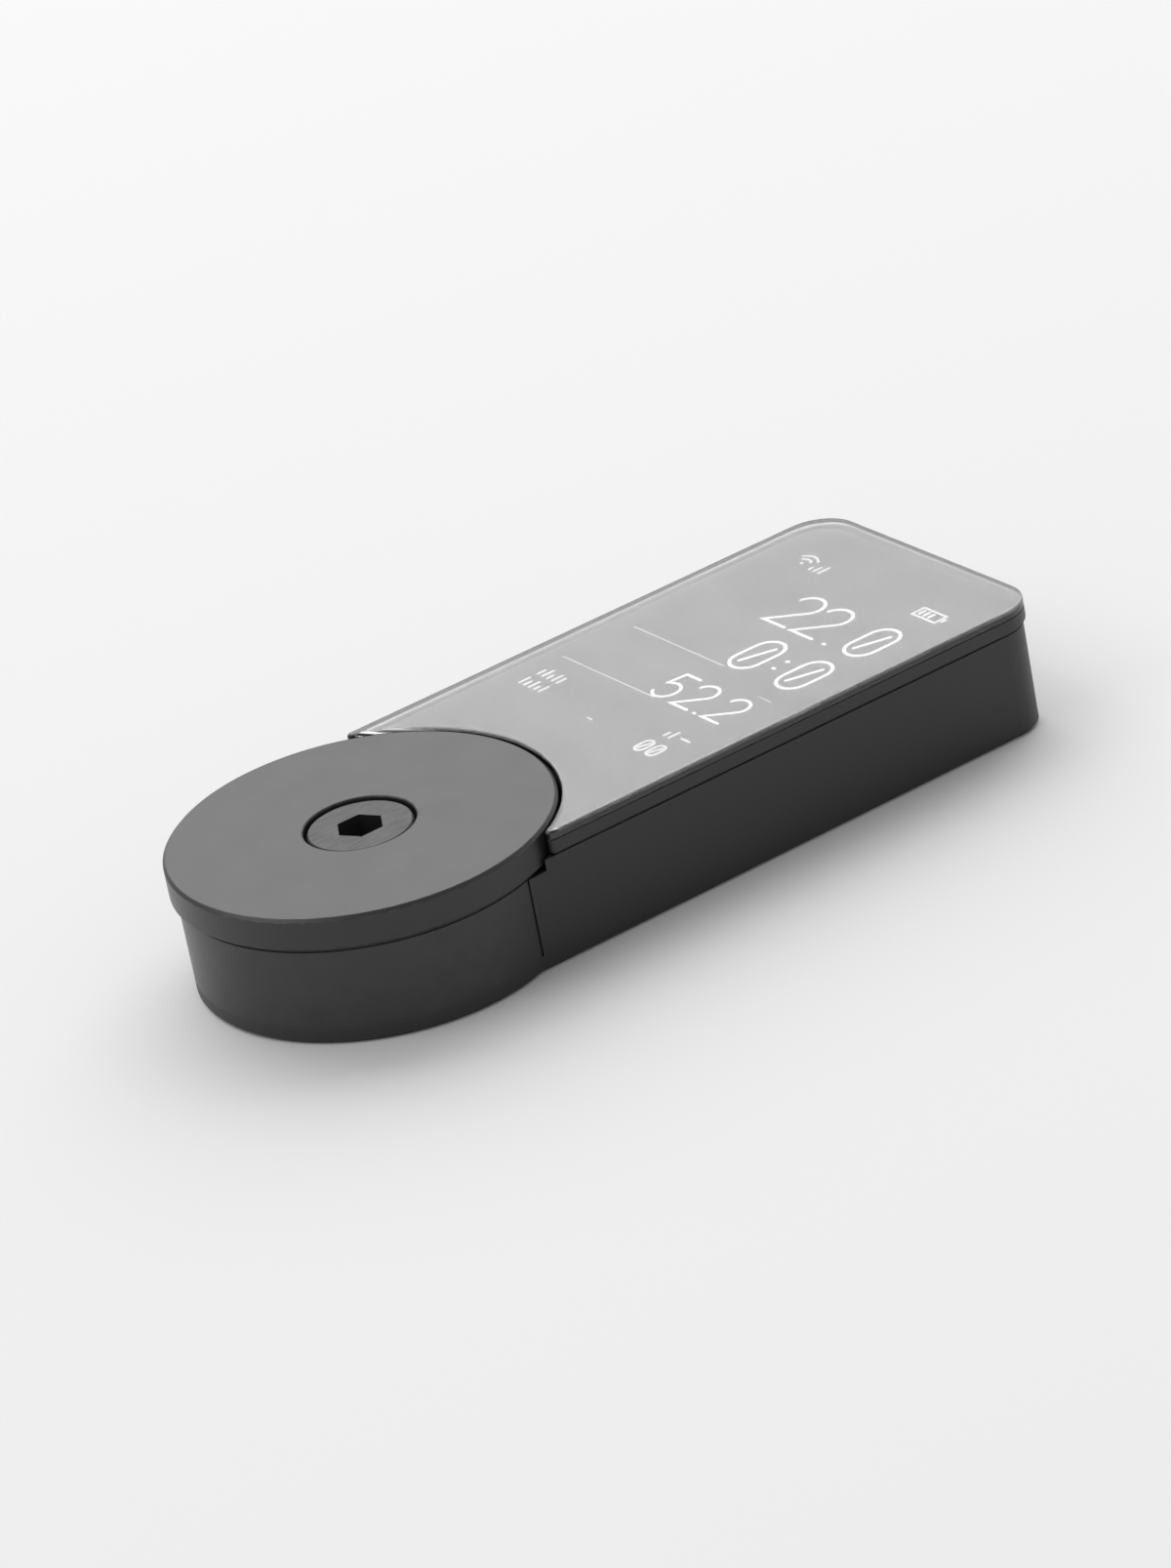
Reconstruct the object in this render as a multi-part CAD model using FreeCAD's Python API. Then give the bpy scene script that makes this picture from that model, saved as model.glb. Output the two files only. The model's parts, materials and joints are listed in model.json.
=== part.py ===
"""A stem-top cycling computer: the display unit, the dock it drops into and the round clamp cap.

Millimetres, +Z up. The underside of the dock is z = 0 and the origin is under the middle of the assembly.
X runs along the stem, from the clamp cap at -X to the handlebar at +X. The glass and the cap share one deck.
"""

import FreeCAD, Part
import math
import os

V = FreeCAD.Vector

# ---------------------------------------------------------------- driving dimensions
LENGTH = 84.6  # near edge of the cap to the far edge of the glass
CAP_R = 18.2  # clamp cap
PLATE_HALF = 16.7  # half the width of the glass
DECK_Z = 13.0  # top of the glass and of the cap
CORNER_R = 4.3  # far corners of the glass
SEAM = 0.35  # gap between the glass and the cap
GLASS_T = 0.8
GLASS_EDGE_R = 0.3  # the unit tilts about the middle of this round at the glass's far edge
BEZEL_T = 1.5
TRAY_FLOOR_T = 1.6
TRAY_WALL_T = 1.2
CASE_WALL_T = 1.2
FLOOR_GAP = 0.8  # from the tray floor to the display unit's underside
SIDE_GAP = 0.3  # from the tray's wall to the display unit's sides
BOLT_R = 3.0  # M6
BOLT_HEAD_R = 5.0
BOLT_HEAD_T = 4.0
NECK_R = 2.4  # undercut below the bolt's head, which lets the retaining ring turn
HEX_AF = 4.0
CLEAR = 0.03  # between pieces that are stacked or let into each other
PAST = 1.0  # how far a cutting tool runs past the face that it opens

# ---------------------------------------------------------------- the deck: glass, seal, bezel and display
FAR_X = LENGTH / 2
CAP_X = CAP_R - LENGTH / 2
PLATE_NEAR_R = CAP_R + SEAM  # the glass curves round the cap at this radius
HORN_R = 0.5  # rounds the glass's two tips beside the cap
SEAL_T = 0.1
BOND_GAP = 0.02  # the seal's film of adhesive, above and below it
GLASS_Z = DECK_Z - GLASS_T
BEZEL_TOP = GLASS_Z - SEAL_T
BEZEL_Z = BEZEL_TOP - BEZEL_T
BEZEL_WALL = 1.2
SEAL_INSET = 0.25  # from the glass's outline in to the adhesive frame's
LEDGE_T = 0.5  # the ledge inside the bezel that the display lies on
LEDGE_TOP = BEZEL_Z + LEDGE_T
LEDGE_W = 5.5
PANEL_INSET = BEZEL_WALL + 0.15
PANEL_T = 0.65
PANEL_Z = BEZEL_TOP - CLEAR - PANEL_T
GUIDE_TOP = PANEL_Z - 0.04
GUIDE_SHORT = 4.0  # the light guide stops this far from the far edge, which leaves room for its lamps
LAMP_YS = [-9.0, -3.0, 3.0, 9.0]

# ---------------------------------------------------------------- the dock's tray
TRAY_HALF = PLATE_HALF - 0.3
TRAY_FAR = FAR_X - 0.3
TRAY_TOP = BEZEL_Z - 0.1
TRAY_CORNER_R = CORNER_R - 0.3
POCKET_HALF = TRAY_HALF - TRAY_WALL_T
POCKET_FAR = TRAY_FAR - TRAY_WALL_T
POCKET_CORNER_R = TRAY_CORNER_R - TRAY_WALL_T
DRUM_R = CAP_R - 0.6  # the tray's round end, under the cap

# ---------------------------------------------------------------- the display unit's case
CASE_Z = TRAY_FLOOR_T + FLOOR_GAP
CASE_SEAL_T = 0.2
CASE_TOP = BEZEL_Z - CASE_SEAL_T
CASE_HALF = POCKET_HALF - SIDE_GAP
CASE_FAR = POCKET_FAR - SIDE_GAP - 0.05
CASE_NEAR_R = PLATE_NEAR_R + 2.3  # set back so that the unit can tilt out past the cap
CASE_CORNER_R = 2.6
NEAR_X = CAP_X + CASE_NEAR_R  # middle of the case's near wall
ROOM_Z = CASE_Z + CASE_WALL_T  # floor of the room inside the case
ROOM_HALF = CASE_HALF - CASE_WALL_T
ROOM_FAR = CASE_FAR - CASE_WALL_T
ROOM_NEAR_R = CASE_NEAR_R + CASE_WALL_T
ROOM_CORNER_R = CASE_CORNER_R - 1.0
HOOK_YS = [-7.0, 7.0]  # hooks at the case's far end, which catch in the tray's far wall
HOOK_W = 5.0
HOOK_OUT = 1.2
HOOK_Z = 5.0
HOOK_T = 1.2

SCREW_R = 1.0  # M2 case screws
SCREW_HEAD_R = 1.6
SCREW_HEAD_Z = CASE_Z + 0.35
SCREW_SHANK_Z = CASE_Z + 1.6
SCREW_END_Z = 9.6
CROSS_L = 1.8
CROSS_W = 0.4
CROSS_DEEP = 0.55
POST_Z = 7.0  # where the bezel's screw posts meet the case's columns
CASE_SCREWS = [(x, side * 11.5) for x in (NEAR_X + 0.65, FAR_X - 5.4) for side in (-1, 1)]

PAD_X = NEAR_X + 5.25
PAD_YS = [-6.0, -2.0, 2.0, 6.0]
PAD_R = 1.3
PAD_SINK = 0.6  # the gold pads lie this deep in the case's floor
MAGNET_R = 2.0
MAGNET_T = 0.75
MAGNETS = [(PAD_X + 1.6, side * 10.6) for side in (-1, 1)]
VENT = (PAD_X + 4.0, 0.0)
VENT_R = 0.5
BUTTON = (PAD_X + 7.5, 8.0)
BUTTON_R = 3.0
BUTTON_EDGE_R = 0.4
FLANGE_R = 3.9
FLANGE_T = 0.4
STEM_R = 0.9
STEM_TOP = 4.5
USB = (PAD_X + 7.5, -8.0)
USB_LONG = 8.94
USB_SHORT = 3.26
USB_SHELL_T = 0.3

# ---------------------------------------------------------------- what the case holds
BOARD_Z = 8.3
BOARD_T = 0.8
BOARD_TOP = BOARD_Z + BOARD_T
BOARD_EDGE = 0.5  # from the board to the case's wall
BOARD_SCREW_R = 0.6
BOARD_SCREWS = [(PAD_X + 2.5, -9.5), (PAD_X + 13.0, 12.0), (FAR_X - 8.3, 0.0)]
FRAME_Z = BOARD_TOP + 0.6
FRAME_T = 0.6
FLEX_X = PAD_X + 5.5
FLEX_HALF = 4.0
FLEX_T = 0.15
FLEX_TOP = FRAME_Z + FRAME_T + 0.6
FLEX_PLUG_T = 0.45
SHIELD = (PAD_X + 19.5, -4.5)
SHIELD_SIZE = 11.0
SHIELD_T = 1.25
SHIELD_WALL = 0.2
RADIO = (PAD_X + 19.5, 7.0)
ANTENNA = (PAD_X + 29.0, 8.0)
MODULE_T = 1.2
# Each chip's centre, length, width and height.
CHIPS = [
    ((PAD_X + 28.0, -9.5), 3.0, 3.0, 0.8),
    ((PAD_X + 28.5, -3.0), 3.0, 4.0, 0.8),
    ((PAD_X + 26.15, 2.55), 1.5, 1.5, 0.6),
    ((PAD_X + 11.8, -2.8), 2.4, 2.4, 0.7),
]
SENSOR = (PAD_X + 5.0, 0.6)
BUZZER = (PAD_X - 0.2, 0.0)
BUZZER_R = 3.4
BUZZER_T = 1.9
SWITCH_Z = STEM_TOP + 1.0
BATTERY_X = (PAD_X + 12.4, FAR_X - 8.1)
BATTERY_HALF = 11.6
BATTERY_Z = ROOM_Z + 0.3
BATTERY_TOP = 6.8
LEAD_R = 0.4
LEAD_YS = [3.0, 4.6]
LEAD_Z = 5.6
LEAD_X = BATTERY_X[0] - 1.4
PLUG_Z = 7.0

# ---------------------------------------------------------------- the dock's fittings
MOUNT_CIRCLE_R = 13.0  # the dock's screws to the stem, and the seat's screws, on one circle
MOUNT_HOLE_R = 1.7
SEAT_FLOOR_Z = 3.2
SEAT_WALL = 1.6
SLEEVE_WALL = 1.4
SEAT_SCREW_R = 0.9
FLOOR_BORE_R = 8.6
BLOCK_L = 3.5
BLOCK_W = 16.5
BLOCK_TOP = 2.1
PIN_R = 0.55
PIN_TOP = CASE_Z + PAD_SINK - 0.04
COLLAR_R = 0.8
COLLAR_Z = (1.5, 1.75)
SPRING_Z = 0.37
SOCKET = (PAD_X + 7.6, 0.0)  # for the bicycle's cable
SOCKET_L = 3.7
SOCKET_W = 7.3

# ---------------------------------------------------------------- the clamp cap and its bolt
CAP_T = 3.0
CAP_EDGE = 0.3
CAP_Z = DECK_Z - CAP_T
SEAT_TOP = CAP_Z - 0.62  # the gasket fills this gap
SPIGOT_R = 8.0
SPIGOT_Z = 5.4
SLEEVE_R = SPIGOT_R + 0.06  # running fit for the spigot
COUNTERBORE_R = BOLT_HEAD_R + 0.25
COUNTERBORE_LIP = 0.12
HEAD_TOP = DECK_Z - 0.25
HEAD_EDGE = 0.2
HEAD_Z = HEAD_TOP - BOLT_HEAD_T
HEX_DEEP = 2.4
WASHER_T = 0.5
BOLT_END_Z = 0.3
RETAINER_R = 4.8


# ---------------------------------------------------------------- helpers
def save(name, shape):
    shape.exportStep("parts/%s.step" % name)


def box(x0, x1, y0, y1, z0, z1):
    return Part.makeBox(x1 - x0, y1 - y0, z1 - z0, V(x0, y0, z0))


def block(centre, size_x, size_y, z0, z1):
    x, y = centre
    return box(x - size_x / 2, x + size_x / 2, y - size_y / 2, y + size_y / 2, z0, z1)


def rod(centre, r, z0, z1):
    return Part.makeCylinder(r, z1 - z0, V(*centre, z0))


def ring(centre, outer, inner, z0, z1):
    return rod(centre, outer, z0, z1).cut(rod(centre, inner, z0 - PAST, z1 + PAST))


def cone(centre, low_r, high_r, z0, z1):
    return Part.makeCone(low_r, high_r, z1 - z0, V(*centre, z0))


def on_cap_circle(degrees):
    """A place on the mounting circle round the cap's axis."""
    turn = math.radians(degrees)
    return CAP_X + MOUNT_CIRCLE_R * math.cos(turn), MOUNT_CIRCLE_R * math.sin(turn)


CAP = (CAP_X, 0.0)
MOUNT_HOLES = [on_cap_circle(degrees) for degrees in (45, 135, 225, 315)]
SEAT_SCREWS = [on_cap_circle(degrees) for degrees in (0, 180)]


def plan(half, far, corner, near_r, z0, z1):
    """A prism with straight sides, round far corners and a near end curved round the cap."""
    horn = CAP_X + math.sqrt(near_r**2 - half**2)
    dip = corner * (1 - math.sqrt(0.5))

    def pt(x, y):
        return V(x, y, z0)

    def far_corner(side):
        start = pt(far - corner, side * half)
        middle = pt(far - dip, side * (half - dip))
        end = pt(far, side * (half - corner))
        return Part.Arc(start, middle, end).toShape()

    near_end = Part.Arc(pt(horn, half), pt(CAP_X + near_r, 0), pt(horn, -half)).toShape()
    sides = [Part.makeLine(pt(horn, side * half), pt(far - corner, side * half)) for side in (-1, 1)]
    far_end = Part.makeLine(pt(far, corner - half), pt(far, half - corner))
    edges = [near_end, sides[0], far_corner(-1), far_end, far_corner(1), sides[1]]
    return Part.Face(Part.Wire(edges)).extrude(V(0, 0, z1 - z0))


def plate(inset, z0, z1):
    """The glass's plan, drawn in by inset all round."""
    corner = max(CORNER_R - inset, 0.6)
    return plan(PLATE_HALF - inset, FAR_X - inset, corner, PLATE_NEAR_R + inset, z0, z1)


def case(inset, z0, z1):
    """The case's plan, drawn in by inset at its walls."""
    return plan(CASE_HALF - inset, CASE_FAR - inset, CASE_CORNER_R, CASE_NEAR_R + inset, z0, z1)


def room(inset, z0, z1):
    """The plan of the room inside the case, drawn in by inset all round."""
    corner = max(ROOM_CORNER_R - inset, 0.6)
    return plan(ROOM_HALF - inset, ROOM_FAR - inset, corner, ROOM_NEAR_R + inset, z0, z1)


def upright_edges(shape, places, tol=0.05):
    """The shape's vertical edges that stand at the given (x, y) places."""

    def stands_at(edge, place):
        centre = edge.CenterOfMass
        upright = edge.BoundBox.XLength < tol and edge.BoundBox.YLength < tol
        return upright and math.hypot(centre.x - place[0], centre.y - place[1]) < tol

    return [e for e in shape.Edges if any(stands_at(e, p) for p in places)]


def level_edges(shape, z, tol=0.001):
    """The shape's edges that lie wholly at height z."""
    return [e for e in shape.Edges if abs(e.BoundBox.ZMin - z) < tol and abs(e.BoundBox.ZMax - z) < tol]


def round_horns(shape, half, near_r, radius):
    """Rounds the two tips beside the cap."""
    horn = CAP_X + math.sqrt(near_r**2 - half**2)
    return shape.makeFillet(radius, upright_edges(shape, [(horn, half), (horn, -half)]))


def hexagon(centre, across_flats, z0, z1):
    corner_r = across_flats / math.sqrt(3)
    corners = []
    for i in range(7):
        turn = math.radians(60 * i)
        corners.append(V(centre[0] + corner_r * math.cos(turn), centre[1] + corner_r * math.sin(turn), z0))
    return Part.Face(Part.makePolygon(corners)).extrude(V(0, 0, z1 - z0))


def group(solids):
    return Part.makeCompound(solids)


# ---------------------------------------------------------------- display unit: the top
def cover_glass():
    glass = round_horns(plate(0, GLASS_Z, DECK_Z), PLATE_HALF, PLATE_NEAR_R, HORN_R)
    return glass.makeFillet(GLASS_EDGE_R, level_edges(glass, DECK_Z))


def glass_seal():
    """The adhesive frame, which stays inside the outline of the glass all round."""
    outer = plate(SEAL_INSET, BEZEL_TOP + BOND_GAP, GLASS_Z - BOND_GAP)
    outer = round_horns(outer, PLATE_HALF - SEAL_INSET, PLATE_NEAR_R + SEAL_INSET, HORN_R)
    return outer.cut(plate(BEZEL_WALL - 0.1, BEZEL_TOP - PAST, GLASS_Z + PAST))


def top_bezel():
    """The frame under the glass, with a ledge for the display and four screw posts."""
    frame = round_horns(plate(0, BEZEL_Z, BEZEL_TOP), PLATE_HALF, PLATE_NEAR_R, HORN_R)
    frame = frame.makeChamfer(0.3, level_edges(frame, BEZEL_Z))
    frame = frame.cut(plate(BEZEL_WALL, LEDGE_TOP, BEZEL_TOP + PAST))
    frame = frame.cut(plate(LEDGE_W, BEZEL_Z - PAST, LEDGE_TOP + PAST))
    posts = [rod(place, 1.8, POST_Z, LEDGE_TOP) for place in CASE_SCREWS]
    holes = [rod(place, SCREW_R + CLEAR, POST_Z - PAST, LEDGE_TOP - 0.4) for place in CASE_SCREWS]
    return frame.fuse(posts).cut(holes).removeSplitter()


def display_panel():
    return plate(PANEL_INSET, PANEL_Z, PANEL_Z + PANEL_T)


def light_guide():
    """The clear sheet behind the display."""
    sheet = plate(PANEL_INSET, LEDGE_TOP + 0.02, GUIDE_TOP)
    return sheet.cut(box(FAR_X - GUIDE_SHORT, FAR_X, -PLATE_HALF, PLATE_HALF, 0, DECK_Z))


def backlight_leds():
    lamp_x = FAR_X - GUIDE_SHORT + 1.1
    return group([block((lamp_x, y), 1.4, 2.6, LEDGE_TOP + 0.02, GUIDE_TOP - 0.02) for y in LAMP_YS])


def display_frame():
    """The metal plate between the display and the board, with three posts for the board's screws."""
    sheet = room(0.2, FRAME_Z, FRAME_Z + FRAME_T)
    sheet = sheet.fuse([rod(place, 1.4, BOARD_TOP, FRAME_Z) for place in BOARD_SCREWS])
    sheet = sheet.cut([rod(place, 2.1, 0, DECK_Z) for place in CASE_SCREWS])
    sheet = sheet.cut([rod(place, BOARD_SCREW_R + 0.02, 0, FRAME_Z + 0.4) for place in BOARD_SCREWS])
    return sheet.cut(block((FLEX_X, 0), 1.2, 2 * FLEX_HALF + 2, FRAME_Z - PAST, FRAME_Z + PAST))


def display_flex():
    """The ribbon from the display down through the metal plate to the board."""
    across = box(FLEX_X, FLEX_X + 6.0, -FLEX_HALF, FLEX_HALF, FLEX_TOP - FLEX_T, FLEX_TOP)
    down = box(FLEX_X, FLEX_X + FLEX_T, -FLEX_HALF, FLEX_HALF, BOARD_TOP + FLEX_PLUG_T, FLEX_TOP)
    return across.fuse(down).removeSplitter()


def flex_connector():
    return block((FLEX_X, 0), 1.0, 2 * FLEX_HALF + 0.6, BOARD_TOP, BOARD_TOP + FLEX_PLUG_T)


# ---------------------------------------------------------------- display unit: the case
def usb_outline(grow, z0, z1):
    """The charging socket's round-ended outline, grown all round."""
    r = USB_SHORT / 2 + grow
    reach = (USB_LONG - USB_SHORT) / 2
    x, y = USB
    ends = [rod((x, y + side * reach), r, z0, z1) for side in (-1, 1)]
    return box(x - r, x + r, y - reach, y + reach, z0, z1).fuse(ends).removeSplitter()


def rear_case():
    """The tub under the bezel: screw columns inside, two hooks at the far end, openings in its floor."""
    below = CASE_Z - PAST
    above = ROOM_Z + PAST
    tub = round_horns(case(0, CASE_Z, CASE_TOP), CASE_HALF, CASE_NEAR_R, 0.6)
    tub = tub.makeChamfer(0.5, level_edges(tub, CASE_Z))
    tub = tub.cut(room(0, ROOM_Z, CASE_TOP + PAST))
    inside = case(0.4, CASE_Z, CASE_TOP)
    columns = [rod(place, 2.4, ROOM_Z - 0.2, POST_Z - 0.05).common(inside) for place in CASE_SCREWS]
    hook_x = CASE_FAR + (HOOK_OUT - 0.3) / 2
    hooks = [block((hook_x, y), HOOK_OUT + 0.3, HOOK_W, HOOK_Z, HOOK_Z + HOOK_T) for y in HOOK_YS]
    tub = tub.fuse(columns + hooks)
    tools = [rod(place, SCREW_R + 0.2, below, POST_Z + PAST) for place in CASE_SCREWS]
    tools += [rod(place, SCREW_HEAD_R + 0.2, below, SCREW_SHANK_Z) for place in CASE_SCREWS]
    tools += [rod((PAD_X, y), PAD_R + 0.05, below, above) for y in PAD_YS]
    tools += [rod(place, MAGNET_R + 0.05, below, CASE_Z + MAGNET_T + 0.05) for place in MAGNETS]
    tools.append(rod(BUTTON, BUTTON_R + 0.05, below, above))
    tools.append(rod(VENT, VENT_R, below, above))
    tools.append(usb_outline(0.15, below, above))
    return tub.cut(tools).removeSplitter()


def case_seal():
    outer_half = CASE_HALF - 0.3
    outer = plan(outer_half, CASE_FAR - 0.3, CASE_CORNER_R - 0.3, CASE_NEAR_R + 0.3, CASE_TOP, BEZEL_Z)
    return outer.cut(room(-0.3, CASE_TOP - PAST, BEZEL_Z + PAST))


def case_screws():
    screws = []
    for place in CASE_SCREWS:
        head = rod(place, SCREW_HEAD_R, SCREW_HEAD_Z, SCREW_SHANK_Z)
        shank = rod(place, SCREW_R, SCREW_SHANK_Z, SCREW_END_Z)
        cross_top = SCREW_HEAD_Z + CROSS_DEEP
        cross = [
            block(place, CROSS_L, CROSS_W, CASE_Z, cross_top),
            block(place, CROSS_W, CROSS_L, CASE_Z, cross_top),
        ]
        screws.append(head.fuse(shank).cut(cross).removeSplitter())
    return group(screws)


def contact_pads():
    """Four gold pads, sunk in the case's floor, that the dock's pins touch."""
    return group([rod((PAD_X, y), PAD_R, CASE_Z + PAD_SINK, ROOM_Z + 0.3) for y in PAD_YS])


def head_magnets():
    return group([rod(place, MAGNET_R, CASE_Z + CLEAR, CASE_Z + CLEAR + MAGNET_T) for place in MAGNETS])


# ---------------------------------------------------------------- display unit: what the case holds
def usb_socket():
    shell = usb_outline(0, CASE_Z + 0.3, BOARD_Z).cut(usb_outline(-USB_SHELL_T, CASE_Z - PAST, BOARD_Z - 1.0))
    tongue = block(USB, 0.7, 6.7, CASE_Z + 1.0, BOARD_Z - 0.5)
    return shell.fuse(tongue).removeSplitter()


def main_board():
    """The board, clear of the case's four screws. The slivers outside the screws are dropped."""
    tools = [rod(place, 2.7, 0, DECK_Z) for place in CASE_SCREWS]
    tools += [rod(place, BOARD_SCREW_R + 0.1, 0, DECK_Z) for place in BOARD_SCREWS]
    board = room(BOARD_EDGE, BOARD_Z, BOARD_TOP).cut(tools)
    return max(board.Solids, key=lambda solid: solid.Volume)


def board_screws():
    screws = []
    for place in BOARD_SCREWS:
        head = rod(place, 2 * BOARD_SCREW_R, BOARD_Z - 0.6, BOARD_Z)
        shank = rod(place, BOARD_SCREW_R, BOARD_Z, FRAME_Z + 0.2)
        screws.append(head.fuse(shank).removeSplitter())
    return group(screws)


def shield_can():
    inner = SHIELD_SIZE - 2 * SHIELD_WALL
    top = BOARD_Z - SHIELD_T
    can = block(SHIELD, SHIELD_SIZE, SHIELD_SIZE, top, BOARD_Z)
    return can.cut(block(SHIELD, inner, inner, top + SHIELD_WALL, BOARD_Z + PAST))


def processor_chip():
    return block(SHIELD, 8.0, 8.0, BOARD_Z - 0.85, BOARD_Z)


def radio_module():
    return block(RADIO, 7.0, 6.0, BOARD_Z - MODULE_T, BOARD_Z)


def gnss_antenna():
    return block(ANTENNA, 3.0, 8.0, BOARD_Z - MODULE_T, BOARD_Z)


def board_chips():
    """The charger, memory, motion sensor and clock chips on the underside of the board."""
    return group([block(centre, long, wide, BOARD_Z - tall, BOARD_Z) for centre, long, wide, tall in CHIPS])


def pressure_sensor():
    return block(SENSOR, 2.0, 2.0, BOARD_Z - 0.8, BOARD_Z)


def vent_membrane():
    return rod(VENT, 3 * VENT_R, ROOM_Z, ROOM_Z + 0.15)


def buzzer():
    low = BOARD_Z - BUZZER_T
    return rod(BUZZER, BUZZER_R, low, BOARD_Z).cut(rod(BUZZER, 0.6, low - PAST, low + 0.5))


def battery_cell():
    cell = box(*BATTERY_X, -BATTERY_HALF, BATTERY_HALF, BATTERY_Z, BATTERY_TOP)
    long_edges = [e for e in cell.Edges if e.BoundBox.YLength > BATTERY_HALF]
    return cell.makeFillet(0.8, long_edges)


def battery_foam():
    half = BATTERY_HALF - 1.0
    return box(BATTERY_X[0] + 1.0, BATTERY_X[1] - 1.0, -half, half, ROOM_Z, BATTERY_Z - 0.02)


def battery_leads():
    """Two short leads from the cell up to its connector."""
    leads = []
    for y in LEAD_YS:
        corner = V(LEAD_X, y, LEAD_Z)
        out = Part.makeCylinder(LEAD_R, BATTERY_X[0] - LEAD_X, corner, V(1, 0, 0))
        up = rod((LEAD_X, y), LEAD_R, LEAD_Z, PLUG_Z)
        leads.append(out.fuse([up, Part.makeSphere(LEAD_R, corner)]).removeSplitter())
    return group(leads)


def battery_connector():
    return block((LEAD_X, sum(LEAD_YS) / 2), 2.4, 3.8, PLUG_Z, BOARD_Z)


def power_button():
    """A round button in the case's floor, held in by its flange."""
    flange_z = ROOM_Z + 0.35
    cap = rod(BUTTON, BUTTON_R, CASE_Z + 0.1, flange_z)
    cap = cap.makeFillet(BUTTON_EDGE_R, level_edges(cap, CASE_Z + 0.1))
    flange = rod(BUTTON, FLANGE_R, flange_z, flange_z + FLANGE_T)
    stem = rod(BUTTON, STEM_R, flange_z + FLANGE_T, STEM_TOP)
    return cap.fuse([flange, stem]).removeSplitter()


def button_seal():
    return ring(BUTTON, FLANGE_R + 0.3, BUTTON_R + 0.2, ROOM_Z, ROOM_Z + 0.3)


def button_switch():
    """The board's press switch, half a millimetre above the button's stem."""
    body = block(BUTTON, 4.6, 4.6, SWITCH_Z, BOARD_Z)
    return body.fuse(rod(BUTTON, 1.4, STEM_TOP + 0.55, SWITCH_Z)).removeSplitter()


# ---------------------------------------------------------------- dock
def dock_tray():
    """The floor under everything, and the walls beside the display unit."""
    below = -PAST
    above = TRAY_FLOOR_T + PAST
    floor = plan(TRAY_HALF, TRAY_FAR, TRAY_CORNER_R, TRAY_HALF + 0.1, 0, TRAY_FLOOR_T)
    floor = floor.fuse(rod(CAP, DRUM_R, 0, TRAY_FLOOR_T)).removeSplitter()
    walls = plan(TRAY_HALF, TRAY_FAR, TRAY_CORNER_R, DRUM_R + 0.1, TRAY_FLOOR_T, TRAY_TOP)
    pocket_near_r = POCKET_HALF + 0.3
    pocket = plan(POCKET_HALF, POCKET_FAR, POCKET_CORNER_R, pocket_near_r, TRAY_FLOOR_T, TRAY_TOP + PAST)
    walls = walls.cut([pocket, rod(CAP, PLATE_NEAR_R, CAP_Z - 0.6, TRAY_TOP + PAST)])
    tray = floor.fuse(walls).removeSplitter()
    tray = tray.makeChamfer(0.4, level_edges(tray, 0))
    tools = [rod(CAP, FLOOR_BORE_R, below, above)]
    tools += [rod(place, MOUNT_HOLE_R, below, above) for place in MOUNT_HOLES]
    tools += [rod(place, SEAT_SCREW_R + 0.2, below, above) for place in SEAT_SCREWS]
    tools += [cone(place, SEAT_SCREW_R + 1.2, SEAT_SCREW_R + 0.2, 0, 1.0) for place in SEAT_SCREWS]
    tools += [rod(place, MAGNET_R + 0.05, TRAY_FLOOR_T - MAGNET_T - 0.05, above) for place in MAGNETS]
    tools.append(block((PAD_X, 0), BLOCK_L + 0.2, BLOCK_W + 0.2, below, above))
    tools.append(block(SOCKET, SOCKET_L + 0.2, SOCKET_W + 0.2, below, above))
    for y in HOOK_YS:
        half = HOOK_W / 2 + 0.4
        tools.append(box(POCKET_FAR - PAST, FAR_X, y - half, y + half, HOOK_Z - 0.4, HOOK_Z + HOOK_T + 0.5))
    return tray.cut(tools).removeSplitter()


def cap_seat():
    """The turned ring that carries the cap: a sleeve for its spigot, a floor and an outer wall."""
    seat = rod(CAP, DRUM_R, TRAY_FLOOR_T, SEAT_TOP)
    tools = [
        ring(CAP, DRUM_R - SEAT_WALL, SLEEVE_R + SLEEVE_WALL, SEAT_FLOOR_Z, SEAT_TOP + PAST),
        rod(CAP, SLEEVE_R, 0, SEAT_TOP + PAST),
    ]
    tools += [rod(place, MOUNT_HOLE_R, 0, SEAT_FLOOR_Z + PAST) for place in MOUNT_HOLES]
    tools += [rod(place, SEAT_SCREW_R + 0.05, 0, SEAT_FLOOR_Z - 0.1) for place in SEAT_SCREWS]
    return seat.cut(tools)


def seat_screws():
    screws = []
    for place in SEAT_SCREWS:
        head = cone(place, SEAT_SCREW_R + 1.1, SEAT_SCREW_R, 0.05, 1.05)
        shank = rod(place, SEAT_SCREW_R, 1.05, SEAT_FLOOR_Z - 0.2)
        socket = hexagon(place, 1.3, -PAST, 0.7)
        screws.append(head.fuse(shank).cut(socket).removeSplitter())
    return group(screws)


def cap_gasket():
    return ring(CAP, DRUM_R - 0.1, DRUM_R - SEAT_WALL + 0.1, SEAT_TOP, CAP_Z - 0.02)


def dock_pad():
    """The soft pad that keeps the display unit from rattling."""
    pad = box(PAD_X + 13.0, FAR_X - 6.3, -9.0, 9.0, TRAY_FLOOR_T, TRAY_FLOOR_T + 0.6)
    corners = [e for e in pad.Edges if e.BoundBox.ZLength > 0.5]
    return pad.makeFillet(1.5, corners)


def dock_board():
    """The thin board that joins the contact block to the cable socket."""
    return box(PAD_X + 2.0, SOCKET[0] + 2.2, -4.2, 4.2, TRAY_FLOOR_T + CLEAR, TRAY_FLOOR_T + 0.4)


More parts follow.
